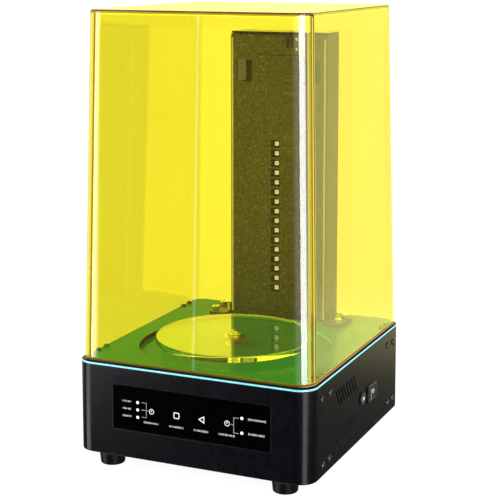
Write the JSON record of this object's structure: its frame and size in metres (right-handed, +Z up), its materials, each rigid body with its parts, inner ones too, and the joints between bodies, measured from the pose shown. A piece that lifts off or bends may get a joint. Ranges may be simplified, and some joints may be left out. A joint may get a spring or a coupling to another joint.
{
  "type": "uv curing lamp",
  "caption": "Desktop UV curing lamp for resin prints: black base with touch panel, clear turntable, upright LED column and lift-off amber hood.",
  "frame": {"origin": "centre of the base's footprint, on the plane its feet rest on", "axes": "+Z up, -Y towards the front display panel, +X towards the side with the power switch"},
  "size_m": [0.2194, 0.2317, 0.3885],
  "materials": {
    "base_shell": "fine textured black powder coat, semi-matt",
    "trim_blue": "light blue gloss, bright polished edge",
    "deck_blue": "blue-green lacquer on aluminium, semi-gloss",
    "panel_glass": "gloss black display window with white print",
    "circuit_board": "green solder mask",
    "led_board": "black board with yellow phosphor chips",
    "motor_steel": "zinc plated sheet",
    "brass": "polished",
    "black_plastic": "moulded, slightly glossy",
    "rocker_black": "moulded, satin gloss",
    "rubber_black": "matt",
    "bright_steel": "machined",
    "black_screw": "black oxide",
    "column_metal": "grey sand-textured lacquer",
    "amber_acrylic": "transparent amber yellow, polished",
    "clear_acrylic": "clear, polished"
  },
  "bodies": {
    "base": {"front_shell": "base_shell", "rear_shell": "base_shell", "bottom_plate": "base_shell", "trim_plate": "trim_blue", "deck_plate": "deck_blue", "display_window": "panel_glass", "control_board": "circuit_board", "main_board": "circuit_board", "led_strip": "led_board", "gear_motor": "motor_steel", "motor_bracket": "motor_steel", "spindle_bush": "brass", "switch_housing": "black_plastic", "dc_jack": "black_plastic", "hood_sensor": "black_plastic", "led_cable": "black_plastic", "hanger_pocket_left": "black_plastic", "hanger_pocket_right": "black_plastic", "foot_front_left": "rubber_black", "foot_front_right": "rubber_black", "foot_rear_left": "rubber_black", "foot_rear_right": "rubber_black", "foot_screw_front_left": "bright_steel", "foot_screw_front_right": "bright_steel", "foot_screw_rear_left": "bright_steel", "foot_screw_rear_right": "bright_steel", "latch_screw_upper": "bright_steel", "latch_screw_lower": "bright_steel", "column_bolt_left_front": "bright_steel", "column_bolt_left_rear": "bright_steel", "column_bolt_right_front": "bright_steel", "column_bolt_right_rear": "bright_steel", "deck_screw_left_front_inner": "black_screw", "deck_screw_left_front_outer": "black_screw", "deck_screw_left_rear_inner": "black_screw", "deck_screw_left_rear_outer": "black_screw", "deck_screw_right_front_inner": "black_screw", "deck_screw_right_front_outer": "black_screw", "deck_screw_right_rear_inner": "black_screw", "deck_screw_right_rear_outer": "black_screw", "shell_screw_top_1": "black_screw", "shell_screw_top_2": "black_screw", "shell_screw_top_3": "black_screw", "shell_screw_top_4": "black_screw", "shell_screw_low_1": "black_screw", "shell_screw_low_2": "black_screw", "shell_screw_low_3": "black_screw", "shell_screw_low_4": "black_screw", "column_housing": "column_metal", "column_front_cover": "column_metal", "column_top_cap": "column_metal", "latch_plate": "column_metal", "column_foot_left": "column_metal", "column_foot_right": "column_metal"},
    "hood": {"hood": "amber_acrylic"},
    "turntable": {"turntable_disc": "clear_acrylic", "turntable_hub": "bright_steel", "turntable_knob": "brass", "spindle": "bright_steel"},
    "power_rocker": {"power_rocker": "rocker_black"}
  },
  "joints": [
    {"name": "hood_lift", "type": "slide", "parent": "base", "child": "hood", "axis": [0, 0, 1], "range_m": [0, 0.29]},
    {"name": "turntable_spin", "type": "hinge", "parent": "base", "child": "turntable", "pos_m": [0, -0.0242, 0.0996], "axis": [0, 0, 1], "continuous": true},
    {"name": "power_rocker_tilt", "type": "hinge", "parent": "base", "child": "power_rocker", "pos_m": [0.1069, 0.0305, 0.0473], "axis": [0, 0, 1], "range_deg": [-14, 0]}
  ]
}
